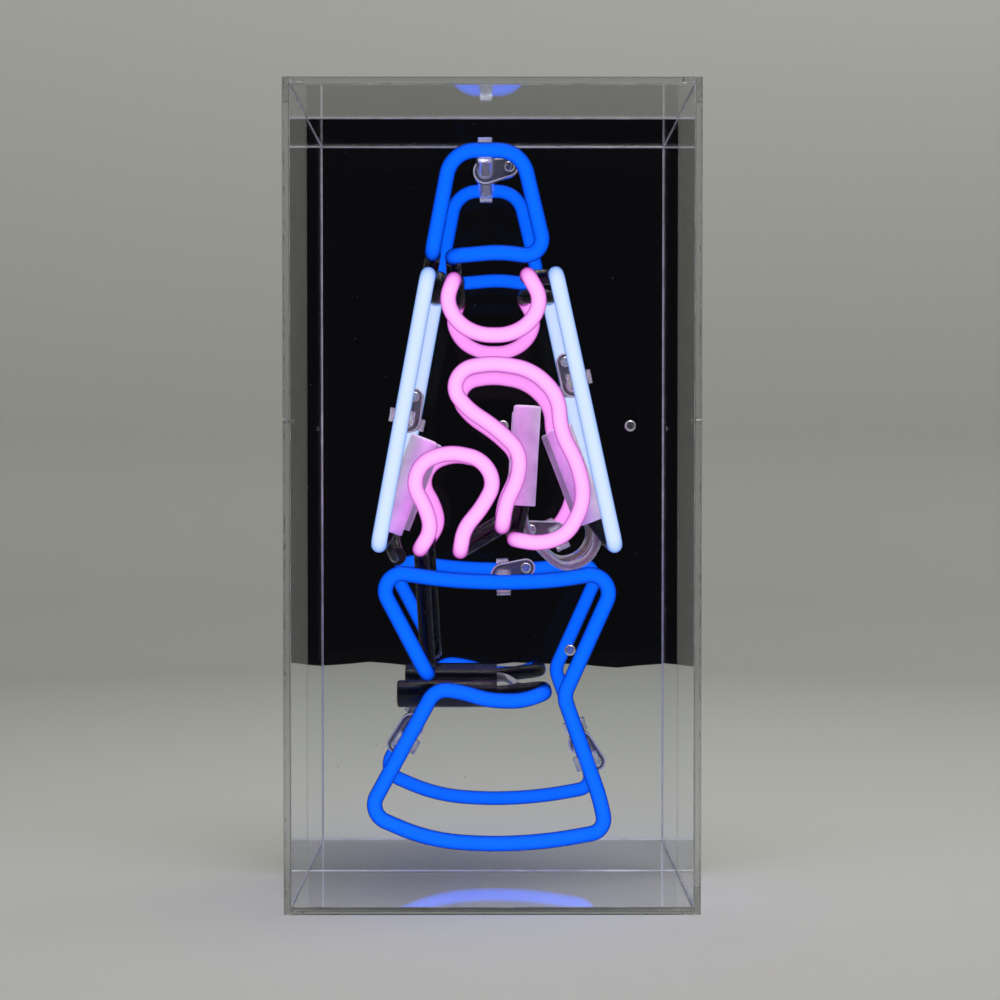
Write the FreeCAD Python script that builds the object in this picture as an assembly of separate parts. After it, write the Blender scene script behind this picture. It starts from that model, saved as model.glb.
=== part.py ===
"""Neon light in the outline of a lava lamp, inside a clear acrylic display box.

The frame is in millimetres.  X points right and Z points up for someone who looks at
the front of the box, which faces -Y.  The origin is on the surface that the box
stands on, under the middle of the whole object.
"""
import FreeCAD, Part
import math
import os
from FreeCAD import Rotation, Vector

# ---- display box -----------------------------------------------------------------
BOX_WIDTH = 190.0
BOX_HEIGHT = 380.0
BOX_DEPTH = 95.0
SHEET = 3.0
VENT_RADIUS = 1.0
VENT_HEIGHT = 225.0

# ---- rear housing ----------------------------------------------------------------
HOUSING_DEPTH = 28.0
HOUSING_WIDTH = 138.0
HOUSING_HEIGHT = 156.0
HOUSING_CENTRE_X = 13.0
HOUSING_CENTRE_Z = 162.0
HOUSING_WALL = 2.4
HOUSING_CORNER = 9.0
HOUSING_EDGE = 2.0
BOSS_RADIUS = 4.5
SLOT_ROW_OFFSET = 46.0
SLOT_COUNT = 9
SLOT_PITCH = 8.0
SLOT_WIDTH = 3.0
SLOT_HEIGHT = 26.0
SLOT_CORNER = 1.4
HOUSING_SCREWS = [(5.2, 224.9), (68.4, 224.9), (38.6, 113.3)]

# ---- depth planes ----------------------------------------------------------------
FRONT_Y = -(BOX_DEPTH + HOUSING_DEPTH) / 2
BOX_BACK_Y = FRONT_Y + BOX_DEPTH
MIRROR_Y = BOX_BACK_Y - SHEET
REAR_Y = BOX_BACK_Y + HOUSING_DEPTH
TUBE_Y = FRONT_Y + 24.0
PAINT_Y = TUBE_Y + 9.0
RETURN_Y = TUBE_Y + 17.0
ELECTRODE_Y = TUBE_Y + 22.0

# ---- neon tube -------------------------------------------------------------------
TUBE_RADIUS = 3.65
GLASS_WALL = 1.0
END_BEND = 5.0
SHARP_BEND = 4.6
LARGEST_SHARE = 0.49
BRIDGE_SHARE = 0.48

# ---- electrodes and their boots --------------------------------------------------
BULB_RADIUS = 5.0
BULB_LENGTH = 35.0
BULB_INSET = 8.0
BOOT_RADIUS = 6.45
BOOT_LENGTH = 47.5
BOOT_END = 3.0
BOOT_BACK_RADIUS = 3.9
BOOT_BACK_OFFSET = 5.4
LEAD_OFFSET = 5.9
SLEEVE_RADIUS = 2.1
WIRE_RADIUS = 0.7
WIRE_CLEARANCE = 0.1
BOOT_TIP_ROUNDING = 1.3
BOOT_MOUTH_ROUNDING = 0.5
LEAD_EXIT = 4.0
LEAD_SETBACK = 10.0
LEAD_TAIL = 1.5
SHELL_RADIUS = 3.4
SHELL_LENGTH = 22.0
SHELL_WALL = 0.5
SHELL_CAP = 1.0
SHELL_INSET = 5.0
PIN_RADIUS = 0.5
PIN_REACH = 1.0

# ---- tube supports ---------------------------------------------------------------
FOOT_THICKNESS = 2.5
FOOT_RADIUS = 6.2
FOOT_LOBE_RADIUS = 4.6
FOOT_REACH = 12.0
POST_RADIUS = 4.4
POST_BORE = 2.6
CLIP_RADIUS = 5.9
CLIP_LENGTH = 6.4
CLIP_STEM_RADIUS = 4.0
CLIP_STEM_END = 9.5
CLIP_CLEARANCE = 0.1
CLIP_MOUTH = 1.6
SPIGOT_RADIUS = 2.5
SPIGOT_LENGTH = 4.0

# ---- screws ----------------------------------------------------------------------
HEAD_RADIUS = 2.75
HEAD_HEIGHT = 1.9
HEAD_ROUNDING = 1.05
SUPPORT_SHANK = 1.4
HOUSING_SHANK = 1.5
HOUSING_SCREW_REACH = 9.0
CROSS_WIDTH = 0.7
CROSS_DEPTH = 0.9

# ---- electronics in the rear housing ---------------------------------------------
BOARD_WIDTH = 84.0
BOARD_HEIGHT = 80.0
BOARD_THICKNESS = 1.6
BOARD_X = 28.0
BOARD_Z = 168.0
BOARD_Y = BOX_BACK_Y + 4.0
STANDOFF_RADIUS = 3.0
STANDOFF_INSET = 5.0
CORE_X = BOARD_X - 12.0
CORE_Z = BOARD_Z + 6.0
CORE_WIDTH = 38.0
CORE_HEIGHT = 34.0
CORE_DEPTH = 14.0
CORE_YOKE = 6.0
CORE_LIMB = 8.0
WINDING_GAP = 0.5
WINDING_PROUD = 3.0
SINK_X = BOARD_X - 2.0
SINK_Z = BOARD_Z - 26.0
SINK_WIDTH = 44.0
SINK_HEIGHT = 16.0
SINK_BASE = 2.0
FIN_COUNT = 7
FIN_PITCH = 6.0
FIN_THICKNESS = 1.6
FIN_HEIGHT = 13.0
CAPACITOR_X = BOARD_X + 26.0
# Each capacitor's height on the board, its radius and its length.
CAPACITORS = [(BOARD_Z + 20.0, 5.0, 15.0), (BOARD_Z + 7.0, 5.0, 15.0), (BOARD_Z - 5.0, 4.0, 11.0)]

# ---- rocker switch ---------------------------------------------------------------
SWITCH_Z = 196.0
SWITCH_Y = BOX_BACK_Y + 14.0
CUTOUT_Y = 13.0
CUTOUT_Z = 19.0
BEZEL_RIM = 1.2
BEZEL_HEIGHT = 1.5
CAVITY_Y = 9.6
CAVITY_Z = 16.0
CAVITY_DEPTH = 8.0
SWITCH_BODY_DEPTH = 11.0
ROCKER_THICKNESS = 9.0
ROCKER_TILT = 9.0
PIVOT_INSET = 1.0
PIVOT_RADIUS = 1.2
PIVOT_CLEARANCE = 0.05
PIVOT_REACH = 1.0
PIVOT_SKIN = 0.4
# The rocker's side view round its pivot: its face dips between two peaks, its back narrows.
ROCKER_OUTLINE = [(3.4, -7.2), (1.9, 0.0), (3.4, 7.2), (-2.0, 6.5), (-4.6, 0.0), (-2.0, -6.5)]

# ---- power inlet -----------------------------------------------------------------
JACK_X = 58.0
JACK_Y = BOX_BACK_Y + 14.0
JACK_BODY = 10.0
JACK_LENGTH = 14.0
JACK_RIM_RADIUS = 6.0
JACK_RIM_HEIGHT = 1.5
JACK_BORE = 2.8
JACK_PIN = 1.0
JACK_END_WALL = 4.0
JACK_PIN_SINK = 3.0

FORWARD = Vector(0, -1, 0)
BACKWARD = Vector(0, 1, 0)

# Each run is a list of (x, z, bend radius).  A radius of 0 takes the largest arc that
# the two neighbouring runs leave room for.
CAP_RUN = [
    (-27.8, 303.6, 0), (-18.9, 350.4, 13.5), (13.4, 350.4, 13.5), (25.2, 300.8, 7.5),
    (3.5, 303.6, 60.0), (-18.4, 301.7, 0),
]
LEFT_SIDE_RUN = [(-52.9, 167.8, 0), (-29.8, 293.5, 0)]
RIGHT_SIDE_RUN = [(29.5, 293.8, 0), (57.0, 167.7, 0)]
DROP_RUN = [
    (-17.9, 291.2, 0), (-21.5, 281.2, 0), (-16.2, 270.6, 0), (-6.0, 265.2, 0),
    (8.0, 265.2, 0), (18.2, 271.0, 0), (22.8, 281.8, 0), (16.4, 293.4, 0),
]
LARGE_BUBBLE_RUN = [
    (4.6, 176.4, 0), (6.3, 187.5, 0), (12.2, 199.0, 0), (12.8, 211.5, 0), (2.0, 222.0, 0),
    (-11.5, 231.0, 0), (-18.6, 240.0, 0), (-14.0, 249.8, 0), (0.0, 252.4, 0),
    (18.5, 249.4, 0), (30.8, 236.8, 0), (31.4, 221.0, 0), (40.2, 204.5, 0),
    (43.0, 187.8, 0), (34.5, 172.4, 0), (22.5, 168.4, 0), (10.4, 170.4, 0),
]
SMALL_BUBBLE_RUN = [
    (-33.7, 165.9, 0), (-28.2, 175.0, 0), (-31.0, 185.5, 0), (-37.0, 195.6, 0),
    (-33.0, 206.4, 0), (-20.5, 211.2, 0), (-5.0, 208.0, 0), (1.4, 197.0, 0),
    (-5.0, 185.0, 0), (-13.2, 175.5, 0), (-15.0, 164.9, 0),
]
BASE_RUN = [
    (24.2, 98.9, 0), (13.6, 95.2, 0), (-2.0, 95.6, 0), (-14.5, 99.6, 0), (-26.5, 101.0, 9.0),
    (-58.3, 42.8, 8.5), (-30.0, 30.6, 0), (-1.2, 28.2, 0), (27.0, 29.8, 0), (53.0, 34.6, 7.0),
    (50.3, 49.0, 0), (33.2, 97.6, 10.0), (60.0, 157.2, 8.5), (32.0, 151.4, 0),
    (3.5, 150.4, 0), (-25.0, 151.8, 0), (-56.4, 157.3, 8.0), (-30.3, 107.7, 0),
]

# Electrode mouths and far ends, as (x, z).
LEFT_MOUTH, LEFT_TIP = (-49.2, 173.7), (-32.6, 217.0)
RIGHT_MOUTH, RIGHT_TIP = (48.2, 178.6), (31.4, 222.2)
CENTRE_MOUTH, CENTRE_TIP = (13.9, 185.9), (16.7, 234.3)
BASE_MOUTH, BASE_TIP = (2.2, 96.4), (-46.3, 96.4)

# Where each high-voltage lead passes through the mirror panel, as (x, z).
LEFT_LEAD_HOLE = (-47.5, 160.0)
BASE_LEAD_HOLE = (13.0, 92.5)

# The jumper's loop from the right electrode round to the centre one, as (x, z).
JUMPER_LOOP = [(50.8, 169.0), (45.6, 159.4), (34.2, 155.8), (25.8, 162.0), (16.6, 172.4)]

GROMMET_RADIUS = 4.5
GROMMET_GROOVE = 3.4
GROMMET_LIP = 1.2

# Support name: (x, z, angle of the tube it holds, angle of its foot), angles in degrees.
SUPPORTS = {
    "top": (-3.4, 350.4, 0, 11),
    "left": (-41.9, 227.5, 79.6, 75),
    "right": (40.1, 245.0, -77.7, 109),
    "bubble": (30.9, 171.4, 24, 171),
    "rim": (5.2, 150.5, 1, 19),
    "base_left": (-40.2, 75.9, 61.4, -130),
    "base_right": (43.9, 67.2, -70.6, -50),
}

# The supports that hold a curved stretch of tube, and its run.
CLIPPED_RUNS = {"top": CAP_RUN, "bubble": LARGE_BUBBLE_RUN, "rim": BASE_RUN}


# ---- geometry helpers ------------------------------------------------------------
def block(low, high):
    """A box between two opposite corners."""
    size = Vector(*high) - Vector(*low)
    return Part.makeBox(size.x, size.y, size.z, Vector(*low))


def rod(radius, start, end):
    """A solid cylinder from one point to another."""
    start, end = Vector(*start), Vector(*end)
    return Part.makeCylinder(radius, (end - start).Length, start, end - start)


def placed(shape, origin, x_axis, z_axis):
    """The shape moved from its own axes onto an origin and two directions."""
    y_axis = z_axis.cross(x_axis)
    turn = Rotation(x_axis, y_axis, z_axis, "ZXY")
    moved = shape.copy()
    moved.Placement = FreeCAD.Placement(origin, turn)
    return moved


def joined(shapes):
    """One shape made of several that overlap or touch."""
    return shapes[0].multiFuse(shapes[1:]).removeSplitter()


def largest_bend(before, corner, after):
    """The arc radius that uses nearly half of the shorter of the two runs at a corner."""
    first, second = corner - before, after - corner
    turn = first.getAngle(second)
    return LARGEST_SHARE * min(first.Length, second.Length) / math.tan(turn / 2)


def bent_wire(points, radii):
    """Straight runs through the points, joined by tangent arcs."""
    edges = []
    reached = points[0]
    for index in range(1, len(points) - 1):
        corner = points[index]
        incoming = (corner - points[index - 1]).normalize()
        outgoing = (points[index + 1] - corner).normalize()
        radius = radii[index] or largest_bend(points[index - 1], corner, points[index + 1])
        half_turn = incoming.getAngle(outgoing) / 2
        setback = radius * math.tan(half_turn)
        arc_start = corner - incoming * setback
        arc_end = corner + outgoing * setback
        inward = (outgoing - incoming).normalize()
        arc_middle = corner + inward * (radius / math.cos(half_turn) - radius)
        edges.append(Part.LineSegment(reached, arc_start).toShape())
        edges.append(Part.Arc(arc_start, arc_middle, arc_end).toShape())
        reached = arc_end
    edges.append(Part.LineSegment(reached, points[-1]).toShape())
    return Part.Wire(edges)


def swept(wire, radius):
    """A round bar along a wire."""
    start = wire.Edges[0]
    tangent = start.tangentAt(start.FirstParameter)
    circle = Part.Circle(wire.OrderedVertexes[0].Point, tangent, radius)
    profile = Part.Wire(circle.toShape())
    return wire.makePipeShell([profile], True, False)


def glass_tube(points, radii):
    """A hollow glass tube along a bent path."""
    wire = bent_wire(points, radii)
    return swept(wire, TUBE_RADIUS).cut(swept(wire, TUBE_RADIUS - GLASS_WALL))


def hull_outline(big, small, reach):
    """A face round two circles: one at the origin and one at (reach, 0)."""
    angle = math.acos((big - small) / reach)
    cosine, sine = math.cos(angle), math.sin(angle)
    upper_big = Vector(big * cosine, big * sine, 0)
    lower_big = Vector(big * cosine, -big * sine, 0)
    upper_small = Vector(reach + small * cosine, small * sine, 0)
    lower_small = Vector(reach + small * cosine, -small * sine, 0)
    edges = [
        Part.Arc(upper_big, Vector(-big, 0, 0), lower_big).toShape(),
        Part.LineSegment(lower_big, lower_small).toShape(),
        Part.Arc(lower_small, Vector(reach + small, 0, 0), upper_small).toShape(),
        Part.LineSegment(upper_small, upper_big).toShape(),
    ]
    return Part.Face(Part.Wire(edges))


def screw(head_place, shank_radius, shank_length):
    """A pan-head cross screw whose head sits on a face that looks forward."""
    head = Part.makeCylinder(HEAD_RADIUS, HEAD_HEIGHT)
    head = head.makeFillet(HEAD_ROUNDING, [head.Edges[0]])
    for width, height in ((CROSS_WIDTH, HEAD_RADIUS), (HEAD_RADIUS, CROSS_WIDTH)):
        slot = Part.makeBox(width, height, CROSS_DEPTH)
        slot.translate(Vector(-width / 2, -height / 2, HEAD_HEIGHT - CROSS_DEPTH))
        head = head.cut(slot)
    shank = Part.makeCylinder(shank_radius, shank_length, Vector(0, 0, -shank_length))
    return placed(head.fuse(shank).removeSplitter(), head_place, Vector(1, 0, 0), FORWARD)


# ---- display box -----------------------------------------------------------------
def front_panel():
    half = BOX_WIDTH / 2
    return block((-half, FRONT_Y, 0), (half, FRONT_Y + SHEET, BOX_HEIGHT))


def side_panel(side):
    outer = side * BOX_WIDTH / 2
    inner = outer - side * SHEET
    panel = block((min(outer, inner), FRONT_Y + SHEET, 0),
                  (max(outer, inner), BOX_BACK_Y, BOX_HEIGHT))
    vent = rod(VENT_RADIUS, (outer + side, TUBE_Y, VENT_HEIGHT),
               (inner - side, TUBE_Y, VENT_HEIGHT))
    return panel.cut(vent)


def level_panel(bottom):
    half = BOX_WIDTH / 2 - SHEET
    return block((-half, FRONT_Y + SHEET, bottom), (half, BOX_BACK_Y, bottom + SHEET))


def support_screw_place(name):
    """Where the screw of a support's foot enters the mirror panel."""
    x, z, _, foot_angle = SUPPORTS[name]
    angle = math.radians(foot_angle)
    return Vector(x + FOOT_REACH * math.cos(angle), MIRROR_Y, z + FOOT_REACH * math.sin(angle))


def mirror_panel():
    half = BOX_WIDTH / 2 - SHEET
    panel = block((-half, MIRROR_Y, SHEET), (half, BOX_BACK_Y, BOX_HEIGHT - SHEET))
    holes = [rod(SUPPORT_SHANK, place, place + BACKWARD * SHEET)
             for place in map(support_screw_place, SUPPORTS)]
    holes += [rod(HOUSING_SHANK, (x, MIRROR_Y, z), (x, BOX_BACK_Y, z))
              for x, z in HOUSING_SCREWS]
    holes += [rod(GROMMET_GROOVE, (x, MIRROR_Y, z), (x, BOX_BACK_Y, z))
              for x, z in (LEFT_LEAD_HOLE, BASE_LEAD_HOLE)]
    for hole in holes:
        panel = panel.cut(hole)
    return panel


# ---- neon tubes ------------------------------------------------------------------
def shaped_tube(run):
    """A lit tube: a shape in the front plane whose two ends turn back to the mirror."""
    front = [Vector(x, TUBE_Y, z) for x, z, _ in run]
    radii = [bend for _, _, bend in run]
    first = Vector(run[0][0], PAINT_Y, run[0][1])
    last = Vector(run[-1][0], PAINT_Y, run[-1][1])
    ends = [0, *radii, 0]
    ends[1] = ends[-2] = END_BEND
    return glass_tube([first, *front, last], ends)


def bridge(start, end):
    """A painted tube behind the lit ones, from one turned-back end to the next."""
    gap = math.dist(start, end)
    bend = min(END_BEND, BRIDGE_SHARE * gap)
    points = [Vector(start[0], PAINT_Y, start[1]), Vector(start[0], RETURN_Y, start[1]),
              Vector(end[0], RETURN_Y, end[1]), Vector(end[0], PAINT_Y, end[1])]
    return glass_tube(points, [0, bend, bend, 0])


def run_end(run, index):
    """The (x, z) place where a lit tube turns back."""
    return run[index][0], run[index][1]


# ---- electrodes ------------------------------------------------------------------
def electrode_axis(mouth, tip):
    """The mouth of an electrode's boot and the direction towards its far end."""
    origin = Vector(mouth[0], ELECTRODE_Y, mouth[1])
    return origin, (Vector(tip[0], ELECTRODE_Y, tip[1]) - origin).normalize()


def electrode_glass(tube_end, mouth, tip):
    """The painted tube from a turned-back end into the boot, with the electrode bulb."""
    origin, axis = electrode_axis(mouth, tip)
    neck = origin + axis * BULB_INSET
    points = [Vector(tube_end[0], PAINT_Y, tube_end[1]),
              Vector(tube_end[0], ELECTRODE_Y, tube_end[1]), origin, neck]
    wire = bent_wire(points, [0, SHARP_BEND, 0, 0])
    shoulder = BULB_RADIUS - TUBE_RADIUS
    outside = joined([
        swept(wire, TUBE_RADIUS),
        placed(Part.makeCone(TUBE_RADIUS, BULB_RADIUS, shoulder), neck, BACKWARD, axis),
        placed(Part.makeCylinder(BULB_RADIUS, BULB_LENGTH - shoulder, Vector(0, 0, shoulder)),
               neck, BACKWARD, axis),
    ])
    inner_tube, inner_bulb = TUBE_RADIUS - GLASS_WALL, BULB_RADIUS - GLASS_WALL
    inside = joined([
        swept(wire, inner_tube),
        placed(Part.makeCone(inner_tube, inner_bulb, shoulder), neck, BACKWARD, axis),
        placed(Part.makeCylinder(inner_bulb, BULB_LENGTH - shoulder - GLASS_WALL,
                                 Vector(0, 0, shoulder)), neck, BACKWARD, axis),
    ])
    pin_hole = rod(PIN_RADIUS, neck + axis * SHELL_LENGTH, neck + axis * (BULB_LENGTH + 1))
    return outside.cut(inside).cut(pin_hole)


def electrode(mouth, tip):
    """The metal shell inside the bulb, with the pin that passes out through its end."""
    origin, axis = electrode_axis(mouth, tip)
    start = origin + axis * (BULB_INSET + SHELL_INSET)
    shell = Part.makeCylinder(SHELL_RADIUS, SHELL_LENGTH)
    hollow = Part.makeCylinder(SHELL_RADIUS - SHELL_WALL, SHELL_LENGTH - SHELL_CAP)
    pin_end = BULB_LENGTH - SHELL_INSET + PIN_REACH
    pin = Part.makeCylinder(PIN_RADIUS, pin_end - SHELL_LENGTH, Vector(0, 0, SHELL_LENGTH))
    return placed(shell.cut(hollow).fuse(pin).removeSplitter(), start, BACKWARD, axis)


def electrode_boot(mouth, tip):
    """The soft boot over the electrode, with a channel on its back for the lead."""
    origin, axis = electrode_axis(mouth, tip)
    outline = hull_outline(BOOT_RADIUS, BOOT_BACK_RADIUS, BOOT_BACK_OFFSET)
    body = outline.extrude(Vector(0, 0, BOOT_LENGTH))
    tip_edges = [edge for edge in body.Edges if edge.BoundBox.ZMin > BOOT_LENGTH - 0.01]
    body = body.makeFillet(BOOT_TIP_ROUNDING, tip_edges)
    mouth_edges = [edge for edge in body.Edges if edge.BoundBox.ZMax < 0.01]
    body = body.makeFillet(BOOT_MOUTH_ROUNDING, mouth_edges)
    bore = Part.makeCylinder(BULB_RADIUS, BOOT_LENGTH - BOOT_END)
    channel = Part.makeCylinder(SLEEVE_RADIUS, BULB_INSET, Vector(LEAD_OFFSET, 0, 0))
    wire_way = Part.makeCylinder(WIRE_RADIUS + WIRE_CLEARANCE, BOOT_LENGTH - BOOT_END,
                                 Vector(LEAD_OFFSET, 0, 0))
    return placed(body.cut(bore).cut(channel).cut(wire_way), origin, BACKWARD, axis)


# ---- high-voltage leads ----------------------------------------------------------
def lead_start(mouth, tip, depth):
    """A point on the lead's channel, the given distance inside a boot."""
    origin, axis = electrode_axis(mouth, tip)
    return origin + BACKWARD * LEAD_OFFSET + axis * depth


def jumper_route():
    """The loop from the right electrode round to the centre one."""
    lead_y = ELECTRODE_Y + LEAD_OFFSET
    return [lead_start(RIGHT_MOUTH, RIGHT_TIP, BULB_INSET),
            lead_start(RIGHT_MOUTH, RIGHT_TIP, -1.0),
            *[Vector(x, lead_y, z) for x, z in JUMPER_LOOP],
            lead_start(CENTRE_MOUTH, CENTRE_TIP, -1.0),
            lead_start(CENTRE_MOUTH, CENTRE_TIP, BULB_INSET)]


def jumper_sleeve():
    points = jumper_route()
    wire = bent_wire(points, [0] * len(points))
    return swept(wire, SLEEVE_RADIUS).cut(swept(wire, WIRE_RADIUS))


def jumper_wire():
    points = jumper_route()
    return swept(bent_wire(points, [0] * len(points)), WIRE_RADIUS)


def through_lead(mouth, tip, hole):
    """A sleeved lead from a boot's mouth back through the mirror panel."""
    outside = lead_start(mouth, tip, -LEAD_EXIT)
    x, z = hole
    points = [lead_start(mouth, tip, BULB_INSET), outside,
              Vector(x, outside.y + LEAD_SETBACK, z), Vector(x, BOX_BACK_Y + LEAD_TAIL, z)]
    return swept(bent_wire(points, [0] * len(points)), SLEEVE_RADIUS)


def lead_grommets():
    """A rubber grommet round each lead where it passes through the mirror panel."""
    rings = []
    for x, z in (LEFT_LEAD_HOLE, BASE_LEAD_HOLE):
        lip = rod(GROMMET_RADIUS, (x, MIRROR_Y - GROMMET_LIP, z), (x, MIRROR_Y, z))
        neck = rod(GROMMET_GROOVE, (x, MIRROR_Y, z), (x, BOX_BACK_Y, z))
        way = rod(SLEEVE_RADIUS, (x, MIRROR_Y - 2 * GROMMET_LIP, z), (x, BOX_BACK_Y + 1, z))
        rings.append(lip.fuse(neck).removeSplitter().cut(way))
    return Part.Compound(rings)


# ---- tube supports ---------------------------------------------------------------
def post_length():
    return MIRROR_Y - TUBE_Y - CLIP_STEM_END


def support_base(name):
    """A clear foot that is screwed to the mirror, with its hollow post."""
    x, z, _, foot_angle = SUPPORTS[name]
    angle = math.radians(foot_angle)
    outline = hull_outline(FOOT_RADIUS, FOOT_LOBE_RADIUS, FOOT_REACH)
    foot = outline.extrude(Vector(0, 0, FOOT_THICKNESS))
    post = Part.makeCylinder(POST_RADIUS, post_length())
    bore = Part.makeCylinder(POST_BORE, post_length())
    hole = Part.makeCylinder(SUPPORT_SHANK, FOOT_THICKNESS, Vector(FOOT_REACH, 0, 0))
    shape = foot.fuse(post).cut(bore).cut(hole).removeSplitter()
    along_foot = Vector(math.cos(angle), 0, math.sin(angle))
    return placed(shape, Vector(x, MIRROR_Y, z), along_foot, FORWARD)


def tube_space(run):
    """The room that a lit tube takes up in its clips, without its turned-back ends."""
    wire = bent_wire([Vector(x, TUBE_Y, z) for x, z, _ in run],
                     [0, *[bend for _, _, bend in run[1:-1]], 0])
    return swept(wire, TUBE_RADIUS + CLIP_CLEARANCE)


def support_clip(name):
    """A clear clip that grips the tube, follows its curve and plugs into the post."""
    x, z, tube_angle, _ = SUPPORTS[name]
    angle = math.radians(tube_angle)
    half = CLIP_LENGTH / 2
    ring = rod(CLIP_RADIUS, (-half, 0, 0), (half, 0, 0))
    stem = rod(CLIP_STEM_RADIUS, (0, 0, -CLIP_STEM_END), (0, 0, 0))
    spigot = rod(SPIGOT_RADIUS, (0, 0, -CLIP_STEM_END - SPIGOT_LENGTH), (0, 0, -CLIP_STEM_END))
    tube = rod(TUBE_RADIUS + CLIP_CLEARANCE, (-2 * half, 0, 0), (2 * half, 0, 0))
    mouth = block((-CLIP_LENGTH, -CLIP_RADIUS, CLIP_MOUTH), (CLIP_LENGTH, CLIP_RADIUS, CLIP_RADIUS))
    shape = joined([ring, stem, spigot]).cut(tube).cut(mouth)
    along_tube = Vector(math.cos(angle), 0, math.sin(angle))
    clip = placed(shape, Vector(x, TUBE_Y, z), along_tube, FORWARD)
    return clip.cut(tube_space(CLIPPED_RUNS[name])) if name in CLIPPED_RUNS else clip


def support_screws():
    length = FOOT_THICKNESS + SHEET
    places = [support_screw_place(name) + FORWARD * FOOT_THICKNESS for name in SUPPORTS]
    return Part.Compound([screw(place, SUPPORT_SHANK, length) for place in places])


# ---- rear housing ----------------------------------------------------------------
def rounded_slab(centre_x, centre_z, width, height, front, back, corner):
    """A block whose four edges along Y are rounded."""
    slab = block((centre_x - width / 2, front, centre_z - height / 2),
                 (centre_x + width / 2, back, centre_z + height / 2))
    along_y = [edge for edge in slab.Edges
               if abs(edge.tangentAt(edge.FirstParameter).y) > 0.99]
    return slab.makeFillet(corner, along_y)


def housing_vents():
    """Two rows of rounded slots through the rear wall."""
    slots = []
    for row_z in (HOUSING_CENTRE_Z + SLOT_ROW_OFFSET, HOUSING_CENTRE_Z - SLOT_ROW_OFFSET):
        for column in range(SLOT_COUNT):
            x = HOUSING_CENTRE_X + SLOT_PITCH * (column - (SLOT_COUNT - 1) / 2)
            slots.append(rounded_slab(x, row_z, SLOT_WIDTH, SLOT_HEIGHT,
                                      REAR_Y - 2 * HOUSING_WALL, REAR_Y + 1, SLOT_CORNER))
    return slots


def board_corners():
    across = BOARD_WIDTH / 2 - STANDOFF_INSET
    up = BOARD_HEIGHT / 2 - STANDOFF_INSET
    return [(BOARD_X + i * across, BOARD_Z + j * up) for i in (-1, 1) for j in (-1, 1)]


def rear_housing():
    """The moulded rear shell with its screw bosses and board standoffs."""
    shell = rounded_slab(HOUSING_CENTRE_X, HOUSING_CENTRE_Z, HOUSING_WIDTH, HOUSING_HEIGHT,
                         BOX_BACK_Y, REAR_Y, HOUSING_CORNER)
    rear_edges = [edge for edge in shell.Edges if edge.BoundBox.YMin > REAR_Y - 0.01]
    shell = shell.makeFillet(HOUSING_EDGE, rear_edges)
    shell = shell.cut(rounded_slab(
        HOUSING_CENTRE_X, HOUSING_CENTRE_Z, HOUSING_WIDTH - 2 * HOUSING_WALL,
        HOUSING_HEIGHT - 2 * HOUSING_WALL, BOX_BACK_Y, REAR_Y - HOUSING_WALL,
        HOUSING_CORNER - HOUSING_WALL))
    inner_rear = REAR_Y - HOUSING_WALL
    bosses = [rod(BOSS_RADIUS, (x, BOX_BACK_Y, z), (x, inner_rear, z)) for x, z in HOUSING_SCREWS]
    standoffs = [rod(STANDOFF_RADIUS, (x, BOARD_Y + BOARD_THICKNESS, z), (x, inner_rear, z))
                 for x, z in board_corners()]
    shell = joined([shell, *bosses, *standoffs])
    cuts = [rod(HOUSING_SHANK, (x, BOX_BACK_Y, z), (x, BOX_BACK_Y + HOUSING_SCREW_REACH, z))
            for x, z in HOUSING_SCREWS]
    right = HOUSING_CENTRE_X + HOUSING_WIDTH / 2
    floor = HOUSING_CENTRE_Z - HOUSING_HEIGHT / 2
    cuts.append(block((right - 2 * HOUSING_WALL, SWITCH_Y - CUTOUT_Y / 2, SWITCH_Z - CUTOUT_Z / 2),
                      (right + 1, SWITCH_Y + CUTOUT_Y / 2, SWITCH_Z + CUTOUT_Z / 2)))
    cuts.append(rod(JACK_BODY / 2, (JACK_X, JACK_Y, floor - 1),
                    (JACK_X, JACK_Y, floor + 2 * HOUSING_WALL)))
    for cut in cuts + housing_vents():
        shell = shell.cut(cut)
    return shell


def housing_screws():
    length = SHEET + HOUSING_SCREW_REACH
    return Part.Compound([screw(Vector(x, MIRROR_Y, z), HOUSING_SHANK, length)
                          for x, z in HOUSING_SCREWS])


# ---- electronics -----------------------------------------------------------------
def driver_board():
    return block((BOARD_X - BOARD_WIDTH / 2, BOARD_Y, BOARD_Z - BOARD_HEIGHT / 2),
                 (BOARD_X + BOARD_WIDTH / 2, BOARD_Y + BOARD_THICKNESS,
                  BOARD_Z + BOARD_HEIGHT / 2))


def on_board(x, z, width, height, thickness):
    """A block that stands on the board's rear face, centred on (x, z)."""
    top = BOARD_Y + BOARD_THICKNESS
    return block((x - width / 2, top, z - height / 2), (x + width / 2, top + thickness,
                                                       z + height / 2))


def on_core(width, height, thickness):
    """A block on the board, centred on the transformer."""
    return on_board(CORE_X, CORE_Z, width, height, thickness)


def transformer_core():
    """The ferrite frame of the high-voltage transformer."""
    frame = on_core(CORE_WIDTH, CORE_HEIGHT, CORE_DEPTH)
    window = on_core(CORE_WIDTH - 2 * CORE_YOKE, CORE_HEIGHT - 2 * CORE_YOKE, CORE_DEPTH)
    limb = on_core(CORE_LIMB, CORE_HEIGHT, CORE_DEPTH)
    return frame.cut(window).fuse(limb).removeSplitter()


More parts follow.
